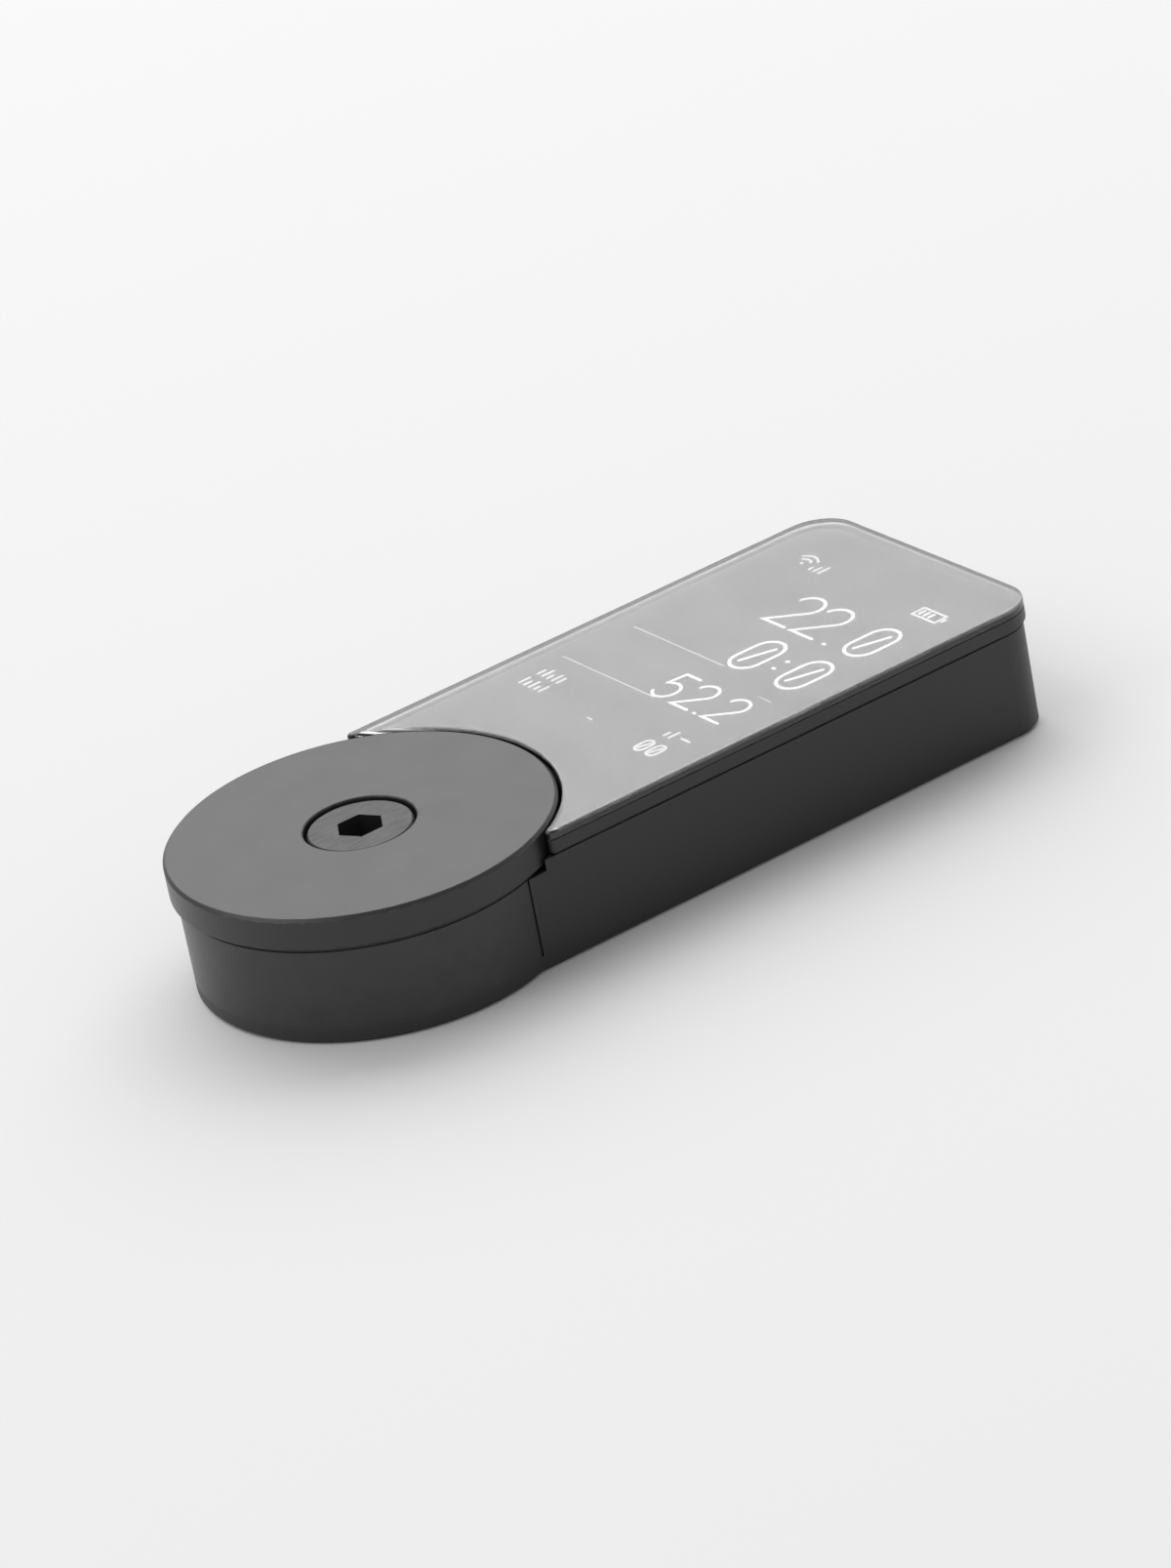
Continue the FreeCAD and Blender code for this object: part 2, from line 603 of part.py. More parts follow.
def contact_block():
    """The moulding that guides the four sprung pins."""
    bore_z = SPRING_Z - 0.02
    moulding = block((PAD_X, 0), BLOCK_L, BLOCK_W, 0.1, BLOCK_TOP)
    barrels = [rod((PAD_X, y), COLLAR_R + 0.06, bore_z, BLOCK_TOP - 0.3) for y in PAD_YS]
    mouths = [rod((PAD_X, y), PIN_R + 0.05, bore_z, BLOCK_TOP + PAST) for y in PAD_YS]
    return moulding.cut(barrels + mouths)


def contact_pin(y):
    shaft = rod((PAD_X, y), PIN_R, COLLAR_Z[0], PIN_TOP)
    shaft = shaft.makeFillet(0.3, level_edges(shaft, PIN_TOP))
    return shaft.fuse(rod((PAD_X, y), COLLAR_R, *COLLAR_Z)).removeSplitter()


def pin_spring(y):
    """The space that the coil spring under a pin's collar takes up."""
    return ring((PAD_X, y), COLLAR_R - 0.06, PIN_R - CLEAR, SPRING_Z, COLLAR_Z[0] - 0.02)


def dock_magnets():
    low = TRAY_FLOOR_T - CLEAR - MAGNET_T + 0.01
    return group([rod(place, MAGNET_R, low, TRAY_FLOOR_T - CLEAR) for place in MAGNETS])


def dock_connector():
    """The cable socket in the tray's floor, open downwards."""
    shell = block(SOCKET, SOCKET_L, SOCKET_W, 0.05, TRAY_FLOOR_T)
    return shell.cut(block(SOCKET, SOCKET_L - 1.2, SOCKET_W - 1.2, -PAST, 1.2))


def connector_pins():
    x, y = SOCKET
    return group([rod((x, y + step), 0.25, 0.4, 1.2) for step in (-2.1, -0.7, 0.7, 2.1)])


# ---------------------------------------------------------------- clamp cap and its bolt
def clamp_cap():
    disc = rod(CAP, CAP_R, CAP_Z, DECK_Z)
    disc = disc.makeChamfer(CAP_EDGE, level_edges(disc, DECK_Z))
    cap = disc.fuse(rod(CAP, SPIGOT_R, SPIGOT_Z, CAP_Z)).removeSplitter()
    tools = [
        rod(CAP, COUNTERBORE_R, HEAD_Z - WASHER_T, DECK_Z + PAST),
        cone(CAP, COUNTERBORE_R, COUNTERBORE_R + COUNTERBORE_LIP, DECK_Z - COUNTERBORE_LIP, DECK_Z),
        rod(CAP, BOLT_R + 0.3, 0, DECK_Z),
        rod(CAP, RETAINER_R + 0.4, 0, SPIGOT_Z + 1.2),
    ]
    return cap.cut(tools)


def cap_washer():
    return ring(CAP, BOLT_HEAD_R + 0.1, BOLT_R + 0.2, HEAD_Z - WASHER_T + 0.01, HEAD_Z - 0.01)


def cap_bolt():
    """An M6 low-head bolt with a hexagon socket; its neck carries the ring that keeps it in the cap."""
    head = rod(CAP, BOLT_HEAD_R, HEAD_Z, HEAD_TOP)
    head = head.makeChamfer(HEAD_EDGE, level_edges(head, HEAD_TOP))
    neck = rod(CAP, NECK_R, SPIGOT_Z, HEAD_Z)
    thread = rod(CAP, BOLT_R, BOLT_END_Z, SPIGOT_Z)
    thread = thread.makeChamfer(0.4, level_edges(thread, BOLT_END_Z))
    bolt = head.fuse([neck, thread]).removeSplitter()
    return bolt.cut(hexagon(CAP, HEX_AF, HEAD_TOP - HEX_DEEP, HEAD_TOP + PAST))


def bolt_retainer():
    return ring(CAP, RETAINER_R, NECK_R, SPIGOT_Z + 0.25, SPIGOT_Z + 1.0)


# ---------------------------------------------------------------- write every piece
DISPLAY_UNIT = [
    cover_glass, glass_seal, top_bezel, display_panel, light_guide, backlight_leds, display_frame,
    display_flex, flex_connector, rear_case, case_seal, case_screws, contact_pads, head_magnets,
    usb_socket, main_board, board_screws, shield_can, processor_chip, radio_module, gnss_antenna,
    board_chips, pressure_sensor, vent_membrane, buzzer, battery_cell, battery_foam, battery_leads,
    battery_connector, power_button, button_seal, button_switch,
]
DOCK = [
    dock_tray, cap_seat, seat_screws, cap_gasket, dock_pad, dock_board, contact_block, dock_magnets,
    dock_connector, connector_pins,
]
CLAMP = [clamp_cap, cap_washer, cap_bolt, bolt_retainer]

os.makedirs("parts", exist_ok=True)
for make in DISPLAY_UNIT + DOCK + CLAMP:
    save(make.__name__, make())
for number, y in enumerate(PAD_YS, 1):
    save("contact_pin_%d" % number, contact_pin(y))
    save("pin_spring_%d" % number, pin_spring(y))
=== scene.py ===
"""The looks of a stem-top cycling computer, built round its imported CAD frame. Metres, +Z up."""

import json
import math

import bmesh
import bpy
from mathutils import Matrix, Vector


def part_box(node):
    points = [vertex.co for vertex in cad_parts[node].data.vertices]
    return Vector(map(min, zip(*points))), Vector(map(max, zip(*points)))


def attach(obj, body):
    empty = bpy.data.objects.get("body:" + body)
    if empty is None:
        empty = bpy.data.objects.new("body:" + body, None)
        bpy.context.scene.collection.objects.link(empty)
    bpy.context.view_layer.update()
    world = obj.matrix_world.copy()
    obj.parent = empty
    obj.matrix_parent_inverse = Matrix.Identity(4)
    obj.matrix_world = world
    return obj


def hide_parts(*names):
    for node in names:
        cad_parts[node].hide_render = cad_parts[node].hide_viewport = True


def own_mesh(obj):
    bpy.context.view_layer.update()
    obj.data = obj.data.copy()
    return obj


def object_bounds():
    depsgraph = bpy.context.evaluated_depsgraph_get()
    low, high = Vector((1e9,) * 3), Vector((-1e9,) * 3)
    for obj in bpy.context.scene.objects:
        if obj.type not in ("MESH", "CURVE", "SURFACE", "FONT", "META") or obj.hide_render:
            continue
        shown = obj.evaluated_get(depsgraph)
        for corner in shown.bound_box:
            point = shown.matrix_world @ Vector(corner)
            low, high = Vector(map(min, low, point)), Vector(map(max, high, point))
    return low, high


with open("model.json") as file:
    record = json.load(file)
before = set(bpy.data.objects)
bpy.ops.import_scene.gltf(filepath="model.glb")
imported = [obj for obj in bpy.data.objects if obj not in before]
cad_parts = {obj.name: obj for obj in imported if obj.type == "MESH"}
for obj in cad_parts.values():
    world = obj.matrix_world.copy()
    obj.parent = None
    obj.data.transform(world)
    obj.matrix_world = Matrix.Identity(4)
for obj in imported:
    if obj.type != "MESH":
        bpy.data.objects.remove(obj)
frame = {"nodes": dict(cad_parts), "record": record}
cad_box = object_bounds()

MM = 0.001

# ---------------------------------------------------------------- places read from the frame
def corners(node):
    """A node's lowest and highest corners at rest."""
    low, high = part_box(node)
    return Vector(low), Vector(high)


GLASS_LOW, GLASS_HIGH = corners("cover_glass")
CAP_LOW, CAP_HIGH = corners("clamp_cap")
BOLT_LOW, BOLT_HIGH = corners("cap_bolt")
PANEL_HIGH = corners("display_panel")[1]
CAP_X = (CAP_LOW.x + CAP_HIGH.x) / 2
DECK_Z = CAP_HIGH.z
FULL_TURN = 2 * math.pi


# ---------------------------------------------------------------- material kit
class Paint:
    """A procedural material, made from the object's own coordinates in millimetres."""

    def __init__(self, name, colour, roughness, metallic=0.0):
        self.material = bpy.data.materials.new(name)
        self.material.use_nodes = True
        self.tree = self.material.node_tree
        self.shader = self.tree.nodes["Principled BSDF"]
        self.set("Base Color", (*colour, 1.0))
        self.set("Roughness", roughness)
        self.set("Metallic", metallic)
        scale = self.node("ShaderNodeVectorMath", operation="SCALE")
        scale.inputs["Scale"].default_value = 1 / MM
        self.link(self.node("ShaderNodeTexCoord").outputs["Object"], scale.inputs[0])
        self.place = scale.outputs[0]
        self.height = None

    def set(self, socket, value):
        self.shader.inputs[socket].default_value = value

    def node(self, kind, **settings):
        made = self.tree.nodes.new(kind)
        for key, value in settings.items():
            setattr(made, key, value)
        return made

    def link(self, a, b):
        self.tree.links.new(a, b)

    def stretched(self, x, y, z):
        """The place, with each axis scaled."""
        scale = self.node("ShaderNodeVectorMath", operation="MULTIPLY")
        scale.inputs[1].default_value = (x, y, z)
        self.link(self.place, scale.inputs[0])
        return scale.outputs[0]

    def noise(self, per_mm, detail=3.0, rough=0.55, place=None):
        """Cloudy noise with per_mm features in a millimetre."""
        tex = self.node("ShaderNodeTexNoise")
        tex.inputs["Scale"].default_value = per_mm
        tex.inputs["Detail"].default_value = detail
        tex.inputs["Roughness"].default_value = rough
        self.link(place or self.place, tex.inputs["Vector"])
        return tex.outputs["Fac"]

    def cells(self, per_mm, place=None):
        """Distance to the nearest of scattered points: grain, blasted pits."""
        tex = self.node("ShaderNodeTexVoronoi")
        tex.inputs["Scale"].default_value = per_mm
        self.link(place or self.place, tex.inputs["Vector"])
        return tex.outputs["Distance"]

    def ramp(self, source, low, high, a=0.0, b=1.0):
        """Maps source from low..high to a..b."""
        mapped = self.node("ShaderNodeMapRange")
        for socket, value in zip(("From Min", "From Max", "To Min", "To Max"), (low, high, a, b)):
            mapped.inputs[socket].default_value = value
        self.link(source, mapped.inputs["Value"])
        return mapped.outputs["Result"]

    def maths(self, operation, a, b):
        """One step of arithmetic on two values, each a number or another node's output."""
        result = self.node("ShaderNodeMath", operation=operation)
        for socket, value in zip(result.inputs, (a, b)):
            if isinstance(value, (int, float)):
                socket.default_value = value
            else:
                self.link(value, socket)
        return result.outputs[0]

    def tint(self, source, colour_a, colour_b):
        """Base colour runs from a to b with source."""
        mix = self.node("ShaderNodeMix", data_type="RGBA")
        mix.inputs["A"].default_value = (*colour_a, 1.0)
        mix.inputs["B"].default_value = (*colour_b, 1.0)
        self.link(source, mix.inputs["Factor"])
        self.link(mix.outputs["Result"], self.shader.inputs["Base Color"])
        return mix.outputs["Result"]

    def gloss(self, source, a, b, low=0.3, high=0.7):
        """Roughness runs from a to b as source runs from low to high."""
        self.link(self.ramp(source, low, high, a, b), self.shader.inputs["Roughness"])

    def relief(self, source, depth_mm):
        """Adds to the surface's height."""
        scaled = self.maths("MULTIPLY", source, depth_mm)
        self.height = scaled if self.height is None else self.maths("ADD", self.height, scaled)

    def rounded(self, radius_mm):
        """Softens the hard edges that light catches."""
        bevel = self.node("ShaderNodeBevel", samples=4)
        bevel.inputs["Radius"].default_value = radius_mm * MM
        return bevel.outputs["Normal"]

    def edges(self, radius_mm):
        """A mask that is 1 on hard edges and 0 elsewhere."""
        dot = self.node("ShaderNodeVectorMath", operation="DOT_PRODUCT")
        self.link(self.rounded(radius_mm), dot.inputs[0])
        self.link(self.node("ShaderNodeNewGeometry").outputs["Normal"], dot.inputs[1])
        return self.ramp(dot.outputs["Value"], 0.995, 0.9)

    def finish(self, edge_mm=0.12):
        """Joins up the relief and the softened edges, and returns the material."""
        normal = self.rounded(edge_mm) if edge_mm else None
        if self.height is not None:
            bump = self.node("ShaderNodeBump")
            bump.inputs["Distance"].default_value = MM
            bump.inputs["Strength"].default_value = 1.0
            self.link(self.height, bump.inputs["Height"])
            if normal is not None:
                self.link(normal, bump.inputs["Normal"])
            normal = bump.outputs["Normal"]
        if normal is not None:
            self.link(normal, self.shader.inputs["Normal"])
        return self.material


# ---------------------------------------------------------------- materials, one function each
def moulded(name, colour, roughness, grain_mm=0.004, edge=0.12):
    """Fine spark-eroded plastic: a pebbled grain, and edges that handling has polished a little."""
    paint = Paint(name, colour, roughness)
    handled = paint.noise(0.6, 5)
    worn = paint.maths("MULTIPLY", paint.edges(0.25), paint.ramp(handled, 0.35, 0.75, 0.2, 1.0))
    paint.tint(worn, colour, tuple(min(1.0, 1.8 * c + 0.012) for c in colour))
    grain = paint.noise(7.0, 2)
    paint.gloss(grain, roughness - 0.03, roughness + 0.04)
    paint.relief(grain, grain_mm)
    return paint.finish(edge)


def cover_glass():
    """Fine-etched clear glass: a soft broad reflection and a few faint smudges."""
    paint = Paint("cover_glass", (0.92, 0.92, 0.92), 0.2)
    paint.set("Transmission Weight", 1.0)
    paint.set("IOR", 1.52)
    smudge = paint.noise(0.12, 5, place=paint.stretched(1.0, 0.45, 1.0))
    paint.gloss(smudge, 0.16, 0.24, 0.35, 0.7)
    paint.relief(paint.noise(9.0, 2), 0.0006)
    return paint.finish(0)


def blasted_metal(name, colour, roughness, metallic=0.0):
    """Bead-blasted and anodised metal, with a thin bright line where its edge has rubbed."""
    paint = Paint(name, colour, roughness, metallic)
    cloud = paint.noise(0.25, 4)
    worn = paint.edges(0.18)
    bare = tuple(0.25 + 0.5 * c for c in colour)
    rubbed = paint.maths("MULTIPLY", worn, paint.ramp(paint.noise(0.8, 4), 0.45, 0.8))
    paint.tint(paint.maths("MULTIPLY", rubbed, 0.6), colour, bare)
    paint.gloss(cloud, roughness - 0.015, roughness + 0.02, 0.3, 0.7)
    paint.relief(paint.cells(9.0), 0.005)
    return paint.finish(0.15)


def turned_metal(name, colour, roughness, metallic=0.6):
    """Lathe-turned metal with fine rings about the cap's axis."""
    paint = Paint(name, colour, roughness, metallic)
    shift = paint.node("ShaderNodeVectorMath", operation="SUBTRACT")
    shift.inputs[1].default_value = (CAP_X / MM, 0, 0)
    paint.link(paint.place, shift.inputs[0])
    rings = paint.node("ShaderNodeTexWave", wave_type="RINGS", rings_direction="Z")
    rings.inputs["Scale"].default_value = 2.2
    rings.inputs["Distortion"].default_value = 0.6
    paint.link(shift.outputs[0], rings.inputs["Vector"])
    paint.gloss(rings.outputs["Fac"], roughness - 0.05, roughness + 0.08, 0.0, 1.0)
    paint.tint(paint.noise(0.5, 4), colour, tuple(1.35 * c for c in colour))
    paint.relief(rings.outputs["Fac"], 0.004)
    return paint.finish(0.12)


def plated_metal(name, colour, roughness, metallic=1.0, grain=4.0):
    """Plated or rolled metal with fine scratches and dull patches."""
    paint = Paint(name, colour, roughness, metallic)
    patch = paint.noise(0.9, 4)
    scratch = paint.noise(grain, 3, place=paint.stretched(0.12, 1.0, 1.0))
    paint.tint(paint.ramp(patch, 0.3, 0.8), colour, tuple(0.72 * c for c in colour))
    paint.gloss(scratch, roughness - 0.08, roughness + 0.14, 0.3, 0.75)
    paint.relief(scratch, 0.002)
    return paint.finish(0.06)


def soft_rubber(name, colour, roughness=0.6):
    """Silicone rubber: matt, with a dusty bloom."""
    paint = Paint(name, colour, roughness)
    dust = paint.noise(1.4, 5)
    paint.tint(paint.ramp(dust, 0.45, 0.8), colour, tuple(c + 0.025 for c in colour))
    paint.gloss(dust, roughness - 0.05, roughness + 0.15, 0.35, 0.7)
    paint.relief(paint.noise(6.0, 3), 0.006)
    return paint.finish(0.1)


def display_black():
    """The display cell: deep black under a smooth polariser, with a faint pixel grid."""
    paint = Paint("display_black", (0.014, 0.014, 0.015), 0.18)
    paint.set("Specular IOR Level", 0.0)
    grid = paint.node("ShaderNodeTexBrick", offset=0.0)
    grid.inputs["Scale"].default_value = 1.0
    grid.inputs["Brick Width"].default_value = 0.16
    grid.inputs["Row Height"].default_value = 0.16
    grid.inputs["Mortar Size"].default_value = 0.012
    paint.link(paint.place, grid.inputs["Vector"])
    paint.tint(grid.outputs["Fac"], (0.015, 0.015, 0.016), (0.006, 0.006, 0.007))
    paint.gloss(paint.noise(0.2, 3), 0.14, 0.24)
    return paint.finish(0.05)


def clear_acrylic():
    """The light guide: clear acrylic with a print of small dots."""
    paint = Paint("light_guide", (0.88, 0.9, 0.92), 0.12)
    paint.set("Transmission Weight", 0.6)
    dots = paint.cells(1.6)
    paint.gloss(dots, 0.5, 0.1, 0.1, 0.4)
    paint.relief(dots, 0.01)
    return paint.finish(0.05)


def lamp_white():
    """White lamps: yellow phosphor in a white cup."""
    paint = Paint("led_white", (0.85, 0.82, 0.62), 0.35)
    paint.tint(paint.noise(1.2, 3), (0.86, 0.84, 0.74), (0.8, 0.72, 0.3))
    paint.relief(paint.noise(5, 2), 0.004)
    return paint.finish(0.05)


def lit_ink(name, glow):
    """The display's lit marks, with a faint unevenness from pixel to pixel."""
    paint = Paint(name, (0.57, 0.57, 0.57), 0.4)
    paint.set("Emission Color", (0.96, 0.96, 0.96, 1.0))
    uneven = paint.ramp(paint.noise(1.5, 2), 0.3, 0.7, 0.9 * glow, 1.1 * glow)
    paint.link(uneven, paint.shader.inputs["Emission Strength"])
    return paint.finish(0)


def glass_ink(name, colour, shine):
    """Matt ink printed on the glass, a little thin in places."""
    paint = Paint(name, colour, 0.5)
    paint.set("Specular IOR Level", shine)
    thin = paint.noise(2.5, 4)
    paint.tint(paint.ramp(thin, 0.5, 0.8), colour, tuple(1.6 * c for c in colour))
    paint.gloss(thin, 0.42, 0.6)
    return paint.finish(0)


def circuit_board():
    """Green solder mask with copper tracks under it, tin pads and via holes."""
    paint = Paint("board_green", (0.01, 0.1, 0.04), 0.3)
    tracks = paint.node("ShaderNodeTexBrick", offset=0.37)
    tracks.inputs["Scale"].default_value = 1.0
    tracks.inputs["Brick Width"].default_value = 5.3
    tracks.inputs["Row Height"].default_value = 0.7
    tracks.inputs["Mortar Size"].default_value = 0.11
    paint.link(paint.place, tracks.inputs["Vector"])
    colour = paint.tint(tracks.outputs["Fac"], (0.008, 0.085, 0.035), (0.03, 0.2, 0.07))
    pads = paint.ramp(paint.cells(0.55), 0.17, 0.14)
    mix = paint.node("ShaderNodeMix", data_type="RGBA")
    mix.inputs["B"].default_value = (0.75, 0.6, 0.3, 1)
    paint.link(pads, mix.inputs["Factor"])
    paint.link(colour, mix.inputs["A"])
    paint.link(mix.outputs["Result"], paint.shader.inputs["Base Color"])
    paint.link(pads, paint.shader.inputs["Metallic"])
    paint.relief(tracks.outputs["Fac"], 0.02)
    paint.relief(pads, 0.02)
    return paint.finish(0.06)


def flex_film():
    """Amber film with copper lines running along it."""
    paint = Paint("flex_amber", (0.6, 0.28, 0.04), 0.28)
    lines = paint.node("ShaderNodeTexWave", bands_direction="Y")
    lines.inputs["Scale"].default_value = 0.8
    paint.link(paint.place, lines.inputs["Vector"])
    paint.tint(paint.ramp(lines.outputs["Fac"], 0.4, 0.6), (0.62, 0.3, 0.05), (0.36, 0.12, 0.02))
    paint.relief(lines.outputs["Fac"], 0.01)
    return paint.finish(0.03)


def battery_foil():
    """Crinkled aluminium pouch foil."""
    paint = Paint("battery_silver", (0.66, 0.67, 0.7), 0.3, 0.9)
    crease = paint.noise(0.3, 5, 0.6, place=paint.stretched(1.0, 0.4, 1.0))
    paint.gloss(crease, 0.22, 0.42)
    paint.tint(paint.ramp(crease, 0.4, 0.6), (0.7, 0.71, 0.73), (0.55, 0.56, 0.6))
    paint.relief(crease, 0.12)
    return paint.finish(0.1)


def fired_ceramic():
    """Pale ceramic with darker specks."""
    paint = Paint("ceramic", (0.76, 0.72, 0.63), 0.55)
    speck = paint.noise(3.0, 4)
    paint.tint(paint.ramp(speck, 0.5, 0.7), (0.78, 0.74, 0.65), (0.62, 0.57, 0.48))
    paint.gloss(speck, 0.45, 0.65)
    paint.relief(speck, 0.01)
    return paint.finish(0.08)


def woven_membrane():
    """A fine white weave."""
    paint = Paint("membrane_white", (0.86, 0.86, 0.86), 0.8)
    weave = paint.node("ShaderNodeTexChecker")
    weave.inputs["Scale"].default_value = 8.0
    paint.link(paint.place, weave.inputs["Vector"])
    paint.tint(weave.outputs["Fac"], (0.88, 0.88, 0.88), (0.74, 0.74, 0.74))
    paint.relief(weave.outputs["Fac"], 0.01)
    return paint.finish(0.03)


FINISHES = {
    "cover_glass": cover_glass(),
    "seal_rubber": soft_rubber("seal_rubber", (0.02, 0.02, 0.021)),
    "bezel_plastic": moulded("bezel_plastic", (0.02, 0.02, 0.022), 0.42),
    "display_black": display_black(),
    "light_guide": clear_acrylic(),
    "led_white": lamp_white(),
    "frame_metal": plated_metal("frame_metal", (0.62, 0.62, 0.6), 0.34),
    "flex_amber": flex_film(),
    "connector_plastic": moulded("connector_plastic", (0.035, 0.035, 0.04), 0.5, grain_mm=0.006, edge=0.06),
    "case_plastic": moulded("case_plastic", (0.027, 0.027, 0.028), 0.5, grain_mm=0.012, edge=0.15),
    "screw_steel": plated_metal("screw_steel", (0.5, 0.5, 0.49), 0.3),
    "contact_gold": plated_metal("contact_gold", (0.86, 0.6, 0.22), 0.22),
    "magnet_nickel": plated_metal("magnet_nickel", (0.66, 0.65, 0.62), 0.16),
    "board_green": circuit_board(),
    "chip_black": moulded("chip_black", (0.022, 0.022, 0.023), 0.48, grain_mm=0.008, edge=0.05),
    "ceramic": fired_ceramic(),
    "membrane_white": woven_membrane(),
    "battery_silver": battery_foil(),
    "lead_red": soft_rubber("lead_red", (0.42, 0.02, 0.02), 0.4),
    "button_rubber": soft_rubber("button_rubber", (0.03, 0.03, 0.031), 0.55),
    "dock_plastic": moulded("dock_plastic", (0.02, 0.02, 0.021), 0.46, grain_mm=0.01, edge=0.15),
    "seat_aluminium": turned_metal("seat_aluminium", (0.041, 0.041, 0.042), 0.36, metallic=0.5),
    "cap_black": blasted_metal("cap_black", (0.021, 0.021, 0.021), 0.36),
    "bolt_black": plated_metal("bolt_black", (0.04, 0.04, 0.041), 0.38, metallic=0.45),
}

for part in frame["record"]["subparts"]:
    node = frame["nodes"][part["node"]]
    node.data.materials.clear()
    node.data.materials.append(FINISHES[part["material_slot"]])


# ---------------------------------------------------------------- mesh kit
def new_piece(name, build, body, material, sharp_degrees=35):
    """A new object from a bmesh, riding on a CAD body. Edges sharper than sharp_degrees stay crisp."""
    mesh = bpy.data.meshes.new(name)
    built = bmesh.new()
    build(built)
    bmesh.ops.recalc_face_normals(built, faces=built.faces)
    built.to_mesh(mesh)
    built.free()
    mesh.shade_smooth()
    mesh.set_sharp_from_angle(angle=math.radians(sharp_degrees))
    piece = bpy.data.objects.new(name, mesh)
    bpy.context.scene.collection.objects.link(piece)
    mesh.materials.append(material)
    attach(piece, body)
    return piece


def loft(built, rings, round_trip=False):
    """A closed skin through rings of points: capped at both ends, or joined end to end on a round trip."""
    skins = [[built.verts.new(point) for point in ring] for ring in rings]
    joins = list(zip(skins, skins[1:]))
    if round_trip:
        joins.append((skins[-1], skins[0]))
    else:
        built.faces.new(skins[0][::-1])
        built.faces.new(skins[-1])
    for one, other in joins:
        for i in range(len(one)):
            j = (i + 1) % len(one)
            built.faces.new((one[i], one[j], other[j], other[i]))


def turned(centre, z, radius, count=96):
    """A ring of points about an upright axis. The radius may be a function of the turn."""
    ring = []
    for i in range(count):
        turn = FULL_TURN * i / count
        reach = radius(turn) if callable(radius) else radius
        ring.append((centre.x + reach * math.cos(turn), centre.y + reach * math.sin(turn), z))
    return ring


def rectangle(centre, half_x, half_y, z):
    """A level ring of four points."""
    corner_signs = ((-1, -1), (1, -1), (1, 1), (-1, 1))
    return [(centre[0] + sx * half_x, centre[1] + sy * half_y, z) for sx, sy in corner_signs]


def block(built, centre, half_x, half_y, foot_z, head_z, edge):
    """A block that stands on foot_z, with its edges at head_z eased."""
    shoulder_z = head_z - math.copysign(edge, head_z - foot_z)
    loft(built, [
        rectangle(centre, half_x, half_y, foot_z),
        rectangle(centre, half_x, half_y, shoulder_z),
        rectangle(centre, half_x - edge, half_y - edge, head_z),
    ])


def arc(centre, rx, ry, start, end, steps=14):
    """Points on an ellipse's arc, in degrees."""
    points = []
    for i in range(steps + 1):
        turn = math.radians(start + (end - start) * i / steps)
        points.append((centre[0] + rx * math.cos(turn), centre[1] + ry * math.sin(turn)))
    return points


MITRE_LIMIT = 0.45  # keeps a stroke's outer edge near it at sharp turns
ROUND_END_DEGREES = (30, 60, 82)


def stroke_sides(points, width, closed):
    """The left and right edges of a stroke along points, as pairs. Open strokes get round ends."""
    path = [Vector(point) for point in points]
    pairs = []
    for i, here in enumerate(path):
        before = path[i - 1] if closed or i else here
        after = path[(i + 1) % len(path)] if closed or i < len(path) - 1 else here
        into = (here - before if here != before else after - here).normalized()
        out = (after - here if after != here else into).normalized()
        along = (into + out).normalized()
        across = Vector((-along.y, along.x))
        reach = width / 2 / max(MITRE_LIMIT, Vector((-into.y, into.x)).dot(across))
        pairs.append((here + across * reach, here - across * reach))
    if closed:
        return pairs
    start = round_end(path[0], path[1], width)[::-1]
    end = round_end(path[-1], path[-2], width, -1)
    return start + pairs + end


def round_end(tip, inner, width, side=1):
    """Pairs that close a stroke's end in a half circle, from the tip outwards."""
    outward = (tip - inner).normalized()
    across = Vector((-outward.y, outward.x)) * -side
    pairs = []
    for degrees in ROUND_END_DEGREES:
        turn = math.radians(degrees)
        middle = tip + outward * (math.sin(turn) * width / 2)
        half = across * (math.cos(turn) * width / 2)
        pairs.append((middle + half, middle - half))
    return pairs


def ribbon(built, points, width, low_z, high_z, closed=False):
    """A thin raised stroke along points in a level plane."""
    rings = []
    for left, right in stroke_sides(points, width, closed):
        rings.append([(*left, low_z), (*left, high_z), (*right, high_z), (*right, low_z)])
    loft(built, rings, round_trip=closed)


# ---------------------------------------------------------------- the display's lit marks
INK_Z = PANEL_HIGH.z + 0.02 * MM
INK_T = 0.04 * MM
BROAD = 0.36 * MM
FINE = 0.26 * MM
HAIR = 0.12 * MM
# A digit is a list of (points, closed) strokes in a box 1 high and DIGIT_W wide, its foot at 0.
DIGIT_W = 0.59
MID = DIGIT_W / 2
DOT_HALF = 0.02  # half the length of a stroke that reads as a round dot


def zero():
    ring = arc((MID, 1 - MID), MID, MID, 0, 180) + arc((MID, MID), MID, MID, 180, 360)
    slash = [(MID - 0.1, 0.2), (MID + 0.1, 0.8)]
    return [(ring, True), (slash, False)]


def two():
    top = arc((MID, 0.72), MID, 0.28, 165, -35, 16)
    return [(top + [(0.02, 0.0), (DIGIT_W, 0.0)], False)]


def five():
    bowl = arc((MID - 0.01, 0.31), MID, 0.31, 125, -145, 18)
    return [([(DIGIT_W - 0.04, 1.0), (0.08, 1.0), (0.03, 0.53)] + bowl, False)]


def point():
    return [([(MID - DOT_HALF, 0.0), (MID + DOT_HALF, 0.0)], False)]


def colon():
    return [([(MID - DOT_HALF, v), (MID + DOT_HALF, v)], False) for v in (0.36, 0.64)]


DIGITS = {"0": zero, "2": two, "5": five, ".": point, ":": colon}


def on_display(forward, left):
    """A place on the display, in millimetres: forward of the cap's axis, and to the rider's left."""
    return CAP_X + forward * MM, left * MM


